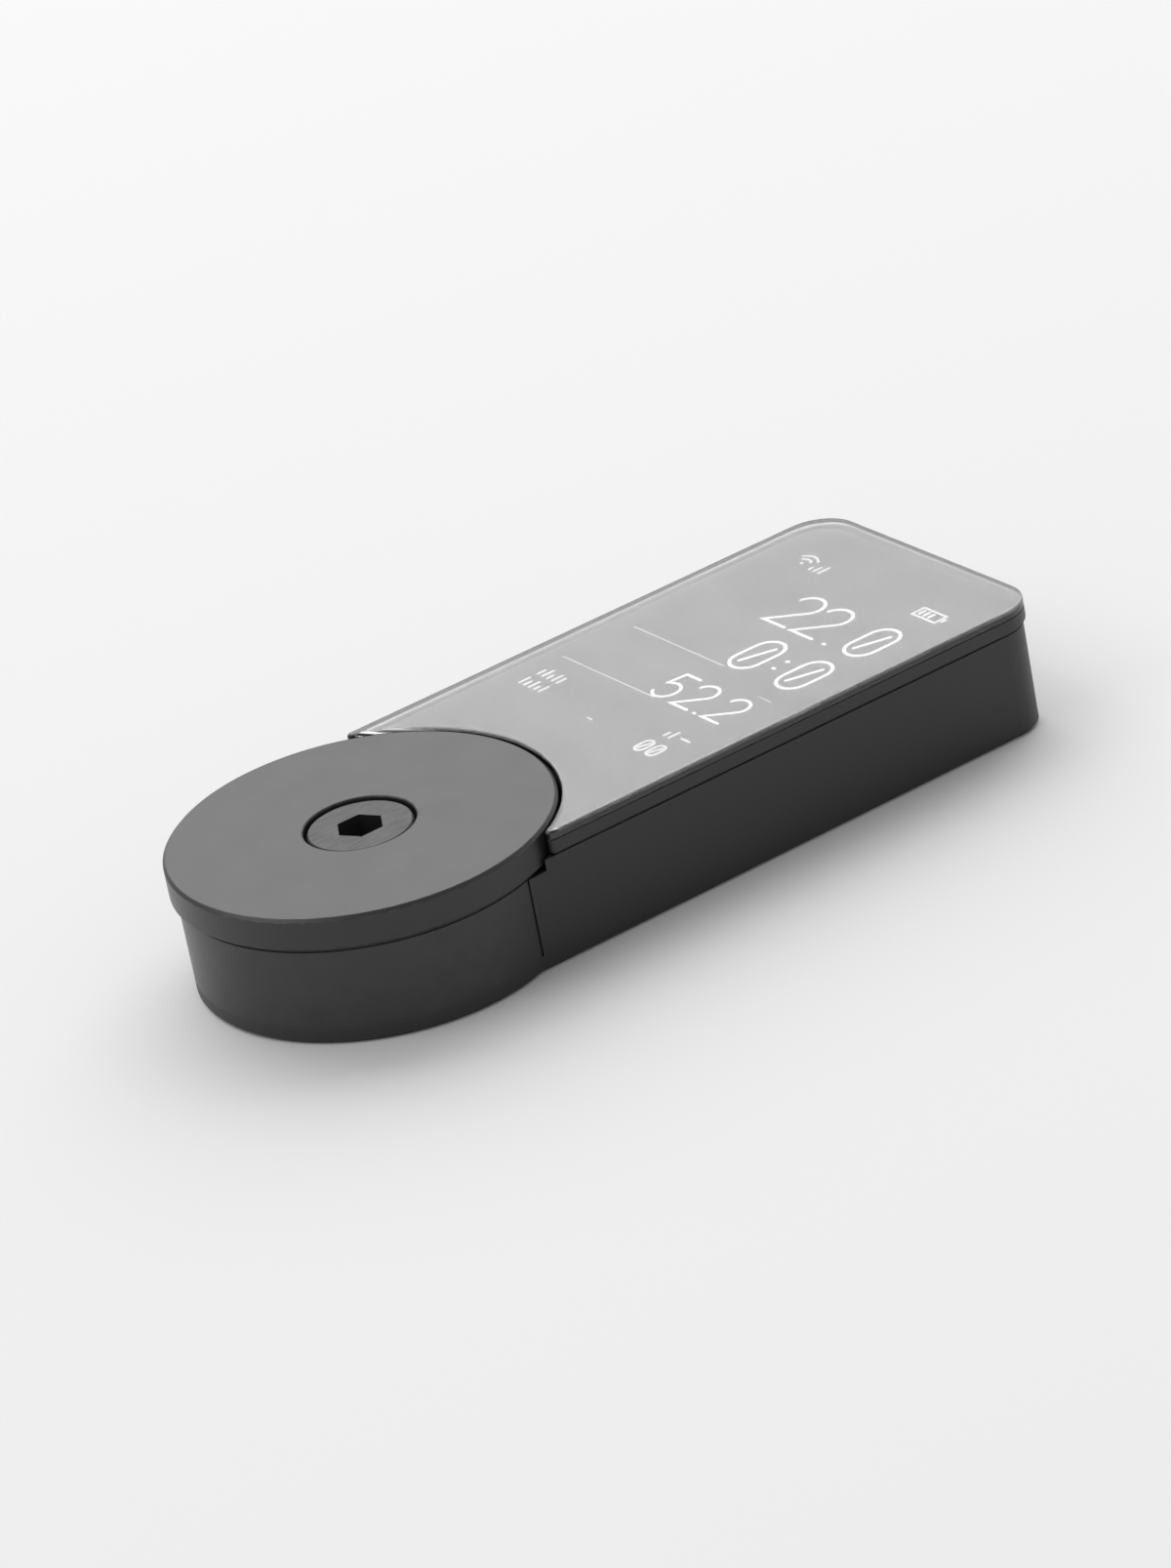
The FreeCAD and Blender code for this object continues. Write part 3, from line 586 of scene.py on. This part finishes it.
def draw(built, places, width, closed=False):
    """A stroke through (forward, left) places on the display."""
    ribbon(built, [on_display(*place) for place in places], width, INK_Z, INK_Z + INK_T, closed)


def write(built, forward, height, width, *digits):
    """A row of (digit, left) with their middles at forward."""
    foot = forward - height / 2
    for digit, left in digits:
        start = left + MID * height
        for points, closed in DIGITS[digit]():
            draw(built, [(foot + v * height, start - u * height) for u, v in points], width, closed)


# Rows of digits, in millimetres: how far forward of the cap's axis their middles are, and their heights.
FAR_ROW = 51.3
MIDDLE_ROW = 43.3
NEAR_ROW = 34.6
LAP_ROW = 25.6
BIG = 5.8
MEDIUM = 4.5
SMALL = 2.0


def numbers(built):
    """Three rows of digits, each digit given with the place of its middle."""
    write(built, FAR_ROW, BIG, BROAD, ("2", 1.4), ("2", -2.9), (".", -6.5), ("0", -10.2))
    write(built, MIDDLE_ROW, BIG, BROAD, ("0", -2.9), (":", -6.55), ("0", -10.2))
    write(built, NEAR_ROW, MEDIUM, 0.9 * BROAD, ("5", -1.5), ("2", -5.2), (".", -7.7), ("2", -10.0))


def rules(built):
    """Hair lines across the display."""
    for forward, left_end, right_end in ((40.0, 12.3, -2.0), (32.1, 13.0, -1.6), (38.0, -10.2, -12.0)):
        draw(built, [(forward, left_end), (forward, right_end)], HAIR)


def bars(built, forward, left, heights, step, width=FINE):
    """A small bar chart, from its rider's-left end."""
    for number, height in enumerate(heights):
        y = left - number * step
        draw(built, [(forward, y), (forward + height, y)], width)


def signal_fan(built, forward, left):
    """A dot with two arcs over it."""
    draw(built, [(forward, left + DOT_HALF), (forward, left - DOT_HALF)], BROAD)
    for reach in (0.9, 1.6):
        draw(built, arc((forward, left), reach, reach, -48, 48), FINE)


def battery_badge(built, forward, left):
    """A battery with three bars of charge, and its nub on the right."""
    half_long = 1.7
    half_tall = 0.75
    gap = 0.45  # from the case's near side to the bars, and from its right-hand end to the nub
    nub_half = 0.25
    signs = ((-1, 1), (1, 1), (1, -1), (-1, -1))
    case = [(forward + along * half_tall, left + across * half_long) for along, across in signs]
    draw(built, case, FINE, closed=True)
    bars(built, forward - half_tall + gap, left + 1.1, (0.6, 0.6, 0.6), 0.7, BROAD)
    nub_left = left - half_long - gap
    draw(built, [(forward - nub_half, nub_left), (forward + nub_half, nub_left)], FINE)


def badges(built):
    """Small status marks: a signal fan with bars, a battery, two charts, and a lap count and its chart."""
    signal_fan(built, 58.0, 9.6)
    bars(built, 57.6, 7.9, (0.5, 0.9, 1.3), 0.75)
    battery_badge(built, 58.1, -10.2)
    bars(built, 28.4, 12.0, (0.9, 1.3, 0.7, 1.2, 1.0), 0.8)
    bars(built, 26.3, 12.0, (1.2, 0.8, 1.2, 0.6, 1.1), 0.8)
    write(built, LAP_ROW, SMALL, FINE, ("0", -9.1), ("0", -10.9))
    bars(built, 27.9, -9.0, (0.7, 1.2), 0.8)
    draw(built, [(28.5, -11.0), (28.5, -12.2)], FINE)
    draw(built, [(25.8, 0.3), (25.8, -0.5)], HAIR)


BRIGHT_INK = lit_ink("lit_ink_bright", 0.6)
SOFT_INK = lit_ink("lit_ink_soft", 0.42)
FAINT_INK = lit_ink("lit_ink_faint", 0.2)
new_piece("display_numbers", numbers, "display_unit", BRIGHT_INK)
new_piece("display_rules", rules, "display_unit", FAINT_INK)
new_piece("display_badges", badges, "display_unit", SOFT_INK)


# ---------------------------------------------------------------- the cover glass and its printed ink
SEAM = 0.35 * MM
GLASS_CORNER_R = 4.3 * MM
HORN_R = 0.5 * MM
GLASS_ROUND = 0.3 * MM  # the round on the glass's top edge
ROUND_STEPS = 8
STOP = 0.05 * MM  # how near a flat's extra points are to its ends, so that the flat shades flat
LONG_STRAIGHT = 3 * MM
EDGE_INK_IN = 0.02 * MM  # how far inside the glass's outline the ink on its edge starts
BORDER_IN = 0.05 * MM  # where that ink ends and the printed border starts
BORDER_END = 1.45 * MM
BORDER_TOP = 0.005 * MM  # the border's depths under the glass
BORDER_FOOT = 0.015 * MM


def with_stops(points):
    """The outline with extra points just inside the ends of each long straight."""
    stopped = []
    for i, here in enumerate(points):
        after = points[(i + 1) % len(points)]
        step = Vector(after) - Vector(here)
        stopped.append(here)
        if step.length > LONG_STRAIGHT:
            reach = step.normalized() * STOP
            stopped.append(tuple(Vector(here) + reach))
            stopped.append(tuple(Vector(after) - reach))
    return stopped


def glass_outline(inset):
    """The glass's outline seen from above, drawn in by inset all round."""
    half = GLASS_HIGH.y
    cap_side_r = (CAP_HIGH.x - CAP_LOW.x) / 2 + SEAM
    horn_y = half - HORN_R
    horn_x = CAP_X + math.sqrt((cap_side_r + HORN_R) ** 2 - horn_y**2)
    lean = math.degrees(math.atan2(horn_y, horn_x - CAP_X))  # the horn's, seen from the cap's axis
    corner_x = GLASS_HIGH.x - GLASS_CORNER_R
    corner_y = half - GLASS_CORNER_R
    corner_r = GLASS_CORNER_R - inset
    horn_r = max(HORN_R - inset, STOP)
    near_r = cap_side_r + inset
    return with_stops(
        arc((corner_x, -corner_y), corner_r, corner_r, -90, 0)
        + arc((corner_x, corner_y), corner_r, corner_r, 0, 90)
        + arc((horn_x, horn_y), horn_r, horn_r, 90, 180 + lean)
        + arc((CAP_X, 0), near_r, near_r, lean, -lean, steps=40)[1:-1]
        + arc((horn_x, -horn_y), horn_r, horn_r, 180 - lean, 270)
    )


def level_ring(inset, z):
    """The glass's outline at height z."""
    return [(x, y, z) for x, y in glass_outline(inset)]


def glass_sheet(built):
    """The glass, flat on top and underneath, with its top edge rounded."""
    shoulder_z = GLASS_HIGH.z - GLASS_ROUND
    rings = [level_ring(0, GLASS_LOW.z), level_ring(0, shoulder_z - STOP)]
    for i in range(ROUND_STEPS + 1):
        turn = math.radians(90 * i / ROUND_STEPS)
        inset = GLASS_ROUND * (1 - math.cos(turn))
        rings.append(level_ring(inset, shoulder_z + GLASS_ROUND * math.sin(turn)))
    rings.append(level_ring(GLASS_ROUND + STOP, GLASS_HIGH.z))
    loft(built, rings)


def printed_frame(outer, inner, low_z, high_z):
    """A mesh maker for a layer of ink between two insets of the glass's outline."""

    def build(built):
        rings = []
        for (x0, y0), (x1, y1) in zip(glass_outline(outer), glass_outline(inner)):
            rings.append([(x0, y0, low_z), (x0, y0, high_z), (x1, y1, high_z), (x1, y1, low_z)])
        loft(built, rings, round_trip=True)

    return build


satin_glass = new_piece("satin_glass", glass_sheet, "display_unit", FINISHES["cover_glass"])
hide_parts("cover_glass")
edge_frame = printed_frame(EDGE_INK_IN, BORDER_IN, GLASS_LOW.z + EDGE_INK_IN, GLASS_HIGH.z - GLASS_ROUND)
edge_black = glass_ink("edge_ink", (0.012, 0.012, 0.012), 0.5)
new_piece("glass_edge_ink", edge_frame, "display_unit", edge_black)
border_frame = printed_frame(BORDER_IN, BORDER_END, GLASS_LOW.z - BORDER_FOOT, GLASS_LOW.z - BORDER_TOP)
border_black = glass_ink("border_ink", (0.014, 0.014, 0.015), 0.0)
new_piece("glass_border_ink", border_frame, "display_unit", border_black)


# ---------------------------------------------------------------- the cap's bolt
HEAD_T = 4.0 * MM
HEAD_EDGE = 0.2 * MM
NECK_R = 2.4 * MM
CREST_R = 3.0 * MM
ROOT_R = 2.45 * MM
PITCH = 1.0 * MM
RINGS_PER_PITCH = 16
ROOT_SHARE = 0.12  # of half a pitch, flat at the root
FLANK_SHARE = 0.72  # sloping; the rest is flat at the crest
HEX_AF = 4.0 * MM
HEX_DEEP = 2.4 * MM
HEX_FLOOR = 0.9  # of the socket's reach, where its level floor meets the cone
DRILL_POINT = 0.4 * MM  # the cone under the socket
DRILL_TIP_R = 0.3 * MM
FILLET = 0.2 * MM  # under the head
TIP_EASE = 0.15 * MM


def hexagon(turn):
    """The socket's reach from its axis."""
    sixth = FULL_TURN / 6
    return HEX_AF / 2 / math.cos(turn % sixth - sixth / 2)


def thread_at(z, foot_z, neck_z):
    """The thread's reach from its axis at height z; it fades out at the tip and at the neck."""
    fade = min(1.0, (z - foot_z) / PITCH, (neck_z - z) / (0.5 * PITCH))

    def reach(turn):
        phase = ((z - foot_z) / PITCH - turn / FULL_TURN) % 1.0
        flank = min(1.0, max(0.0, (1 - abs(2 * phase - 1) - ROOT_SHARE) / FLANK_SHARE))
        return ROOT_R + (CREST_R - ROOT_R) * flank * max(0.0, fade)

    return reach


def bolt(built):
    """The whole bolt, from the bottom of its socket over its head and down to its tip."""
    axis = Vector((CAP_X, 0))
    top_z = BOLT_HIGH.z
    head_z = top_z - HEAD_T
    neck_z = CAP_LOW.z
    head_r = (BOLT_HIGH.x - BOLT_LOW.x) / 2
    profile = [
        (top_z - HEX_DEEP - DRILL_POINT, DRILL_TIP_R),
        (top_z - HEX_DEEP, lambda turn: HEX_FLOOR * hexagon(turn)),
        (top_z - HEX_DEEP, hexagon),
        (top_z, hexagon),
        (top_z, head_r - HEAD_EDGE),
        (top_z - HEAD_EDGE, head_r),
        (head_z + HEAD_EDGE, head_r),
        (head_z, head_r - HEAD_EDGE),
        (head_z, NECK_R + FILLET),
        (head_z - FILLET, NECK_R),
        (neck_z, NECK_R),
    ]
    steps = round((neck_z - BOLT_LOW.z) / PITCH * RINGS_PER_PITCH)
    for i in range(1, steps):
        z = neck_z + (BOLT_LOW.z - neck_z) * i / steps
        profile.append((z, thread_at(z, BOLT_LOW.z, neck_z)))
    profile.append((BOLT_LOW.z, ROOT_R - TIP_EASE))
    loft(built, [turned(axis, z, reach) for z, reach in profile])


BOLT_BLACK = FINISHES["bolt_black"]
cap_bolt = new_piece("threaded_cap_bolt", bolt, "cap_bolt", BOLT_BLACK, sharp_degrees=15)
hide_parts("cap_bolt")


# ---------------------------------------------------------------- the coil springs under the contact pins
WIRE_R = 0.09 * MM
WIRE_SIDES = 10
CLOSED_PITCH = 2.1 * WIRE_R
COIL_TURNS = 4.5
DEAD_TURNS = 0.8  # closed turns at each end
COIL_STEPS = 28
CONTACT_PINS = 4


def coil(low, high):
    """A mesh maker for a compression spring that fills the box from low to high."""
    middle = (low + high) / 2
    coil_r = (high.x - low.x) / 2 - WIRE_R
    closed_rise = CLOSED_PITCH * DEAD_TURNS
    open_rise = high.z - low.z - 2 * WIRE_R - 2 * closed_rise

    def height(turns):
        """The wire's height after so many turns: close at both ends and open between."""
        share = min(1.0, max(0.0, (turns - DEAD_TURNS) / (COIL_TURNS - 2 * DEAD_TURNS)))
        closed = min(turns, DEAD_TURNS) + max(0.0, turns - COIL_TURNS + DEAD_TURNS)
        return low.z + WIRE_R + open_rise * share + closed_rise * closed / DEAD_TURNS

    def wire_section(turn, z):
        """A ring of points round the wire."""
        out = Vector((math.cos(turn), math.sin(turn), 0))
        centre = Vector((middle.x, middle.y, z)) + out * coil_r
        angles = [FULL_TURN * side / WIRE_SIDES for side in range(WIRE_SIDES)]
        return [centre + (out * math.cos(a) + Vector((0, 0, math.sin(a)))) * WIRE_R for a in angles]

    def build(built):
        rings = []
        for i in range(round(COIL_TURNS * COIL_STEPS) + 1):
            rings.append(wire_section(FULL_TURN * i / COIL_STEPS, height(i / COIL_STEPS)))
        loft(built, rings)

    return build


STEEL = FINISHES["screw_steel"]
for number in range(1, CONTACT_PINS + 1):
    node = "pin_spring_%d" % number
    low, high = corners(node)
    spring = new_piece("coil_spring_%d" % number, coil(low, high), "dock", STEEL)
    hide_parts(node)
    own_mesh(spring)


# ---------------------------------------------------------------- small parts on the circuit board
# Rows of chip resistors and capacitors, in millimetres: first place, last place, how many, and
# whether each lies along X. The first list is under the board and the second on top of it.
ROWS_BELOW = [
    ((17.0, 2.5), (26.0, 2.5), 8, False),
    ((27.75, -10.0), (27.75, -1.0), 7, False),
    ((14.0, -11.6), (26.5, -11.6), 10, False),
    ((14.6, -9.4), (14.6, -5.2), 4, True),
    ((18.5, 11.3), (25.5, 11.3), 7, False),
    ((34.8, 4.5), (34.8, 11.0), 6, True),
]
ROWS_ABOVE = [
    ((10.5, -8.0), (30.0, -8.0), 14, False),
    ((11.0, 8.0), (30.0, 8.0), 13, False),
    ((22.0, -5.0), (22.0, 5.0), 8, True),
]
CHIP_LONG = 1.0 * MM
CHIP_WIDE = 0.5 * MM
CHIP_TALL = 0.34 * MM
END_LONG = 0.22 * MM
BODY_SHY = 0.02 * MM  # how far a chip's body lies inside its plated ends
BODY_EASE = 0.04 * MM  # the rounding of the body's top edges, and of the ends'
END_EASE = 0.05 * MM


def chip_places():
    """Each small part's place, whether it lies along X, the board's face there and which way is out."""
    low, high = corners("main_board")
    for rows, face_z, out in ((ROWS_BELOW, low.z, -1), (ROWS_ABOVE, high.z, 1)):
        for first, last, count, along_x in rows:
            for i in range(count):
                share = i / (count - 1)
                x = (first[0] + (last[0] - first[0]) * share) * MM
                y = (first[1] + (last[1] - first[1]) * share) * MM
                yield (x, y), along_x, face_z, out


def chip_bodies(built):
    """The ceramic between the plated ends."""
    long = CHIP_LONG / 2 - END_LONG
    wide = CHIP_WIDE / 2 - BODY_SHY
    for place, along_x, face_z, out in chip_places():
        half_x, half_y = (long, wide) if along_x else (wide, long)
        block(built, place, half_x, half_y, face_z, face_z + out * (CHIP_TALL - BODY_SHY), BODY_EASE)


def chip_ends(built):
    """The plated ends, which carry the solder."""
    for place, along_x, face_z, out in chip_places():
        for side in (-1, 1):
            shift = side * (CHIP_LONG - END_LONG) / 2
            half_x, half_y = END_LONG / 2, CHIP_WIDE / 2
            centre = (place[0] + shift, place[1])
            if not along_x:
                half_x, half_y = half_y, half_x
                centre = (place[0], place[1] + shift)
            block(built, centre, half_x, half_y, face_z, face_z + out * CHIP_TALL, END_EASE)


new_piece("chip_bodies", chip_bodies, "display_unit", FINISHES["ceramic"])
new_piece("chip_ends", chip_ends, "display_unit", STEEL)


# ---------------------------------------------------------------- details under the unit and in the dock
USB_CONTACTS = 12
USB_PITCH = 0.5 * MM
MARK_R = 1.25 * MM
MARK_BAR = (0.45 * MM, 1.55 * MM)  # from the button's middle
PAD_RIBS = 9
RIB_TALL = 0.12 * MM
RIB_SPREAD = 4  # half a rib's width over its height
RIB_SIDES = 8
RIB_SINK = 0.01 * MM  # how far a rib's foot lies in the pad
RIB_MARGIN = 1.5 * MM  # from a rib's end to the pad's


def usb_contacts(built):
    """Twelve gold strips on each side of the charging socket's tongue."""
    low, high = corners("usb_socket")
    middle = (low + high) / 2
    tongue_half = 0.35 * MM
    proud = 0.03 * MM
    half_wide = 0.13 * MM
    ease = 0.012 * MM
    inner_z = low.z + 3.6 * MM
    outer_z = low.z + 0.95 * MM
    for number in range(USB_CONTACTS):
        y = middle.y + (number - (USB_CONTACTS - 1) / 2) * USB_PITCH
        for side in (-1, 1):
            centre = (middle.x + side * (tongue_half + proud / 2), y)
            block(built, centre, proud / 2, half_wide, inner_z, outer_z, ease)


def power_mark(built):
    """The usual ring and bar, raised on the power button's face."""
    low, high = corners("power_button")
    x, y = (low.x + high.x) / 2, (low.y + high.y) / 2
    proud_z = low.z - 0.05 * MM
    root_z = low.z + 0.02 * MM
    ring = arc((x, y), MARK_R, MARK_R, 35, 325, steps=24)
    bar = [(x + reach, y) for reach in MARK_BAR]
    for stroke in (ring, bar):
        ribbon(built, stroke, FINE, proud_z, root_z)


def pad_ribs(built):
    """Low rounded ribs across the dock's soft pad."""
    low, high = corners("dock_pad")
    reach = (high.y - low.y) / 2 - RIB_MARGIN
    foot_z = high.z - RIB_SINK
    stations = ((-1, 0.2), (-0.985, 1), (0.985, 1), (1, 0.2))  # along a rib, and its size there
    for number in range(PAD_RIBS):
        x = low.x + (high.x - low.x) * (number + 1) / (PAD_RIBS + 1)
        rings = []
        for share, size in stations:
            section = arc((x, foot_z), RIB_SPREAD * RIB_TALL * size, RIB_TALL * size, 0, 180, RIB_SIDES)
            rings.append([(px, share * reach, pz) for px, pz in section])
        loft(built, rings)


new_piece("usb_contacts", usb_contacts, "display_unit", FINISHES["contact_gold"])
new_piece("power_mark", power_mark, "power_button", FINISHES["membrane_white"])
new_piece("pad_ribs", pad_ribs, "dock", FINISHES["seal_rubber"])


# ---------------------------------------------------------------- stage, light and camera
FLOOR_HALF = 6.0
FLOOR_GAP = 0.02 * MM  # keeps the floor off the dock's own underside


def pale_floor():
    """A wide matt floor just under the object."""
    mesh = bpy.data.meshes.new("floor")
    built = bmesh.new()
    bmesh.ops.create_grid(built, x_segments=1, y_segments=1, size=FLOOR_HALF)
    built.to_mesh(mesh)
    built.free()
    floor = bpy.data.objects.new("floor", mesh)
    floor.location.z = cad_box[0][2] - FLOOR_GAP
    bpy.context.scene.collection.objects.link(floor)
    paint = Paint("floor", (0.78, 0.78, 0.78), 0.9)
    paint.set("Specular IOR Level", 0.1)
    mesh.materials.append(paint.material)


AZIMUTH = math.radians(-30.67)
ELEVATION = math.radians(25.9)
ROLL = math.radians(11.1)  # the camera leans to one side
DISTANCE = 0.644
LENS = 160.0
AIM = Vector((0, 0, DECK_Z / 2))
LIGHT_DISTANCE = 2.2
WORLD_STRENGTH = 0.44


def toward(azimuth, elevation):
    """The direction from the object to a viewer."""
    level = math.cos(elevation)
    return Vector((math.sin(azimuth) * level, -math.cos(azimuth) * level, math.sin(elevation)))


def add_camera():
    """A camera with a long lens, looking at the middle of the object."""
    camera = bpy.data.objects.new("camera", bpy.data.cameras.new("camera"))
    camera.data.lens = LENS
    away = toward(AZIMUTH, ELEVATION)
    turn = away.to_track_quat("Z", "Y") @ Matrix.Rotation(-ROLL, 3, "Z").to_quaternion()
    camera.matrix_world = Matrix.LocRotScale(AIM + away * DISTANCE, turn, None)
    bpy.context.scene.collection.objects.link(camera)
    bpy.context.scene.camera = camera


def add_softbox(name, azimuth, elevation, width, height, power):
    """A large soft light that the camera itself doesn't see. Degrees, metres and watts."""
    lamp = bpy.data.lights.new(name, "AREA")
    lamp.shape = "RECTANGLE"
    lamp.size = width
    lamp.size_y = height
    lamp.energy = power
    box = bpy.data.objects.new(name, lamp)
    away = toward(math.radians(azimuth), math.radians(elevation))
    box.matrix_world = Matrix.LocRotScale(AIM + away * LIGHT_DISTANCE, away.to_track_quat("Z", "Y"), None)
    bpy.context.scene.collection.objects.link(box)
    box.visible_camera = False


def add_world(strength):
    """An even white surround."""
    world = bpy.data.worlds.new("studio")
    world.use_nodes = True
    background = world.node_tree.nodes["Background"]
    background.inputs["Color"].default_value = (1.0, 1.0, 1.0, 1.0)
    background.inputs["Strength"].default_value = strength
    bpy.context.scene.world = world


pale_floor()
add_camera()
# The back softbox faces the camera from behind the object, so that the glass mirrors it.
add_softbox("back_softbox", azimuth=149.3, elevation=44, width=3.9, height=2.35, power=60)
add_softbox("left_softbox", azimuth=-110, elevation=50, width=1.6, height=1.6, power=12)
add_world(WORLD_STRENGTH)
bpy.context.scene.view_settings.view_transform = "Standard"
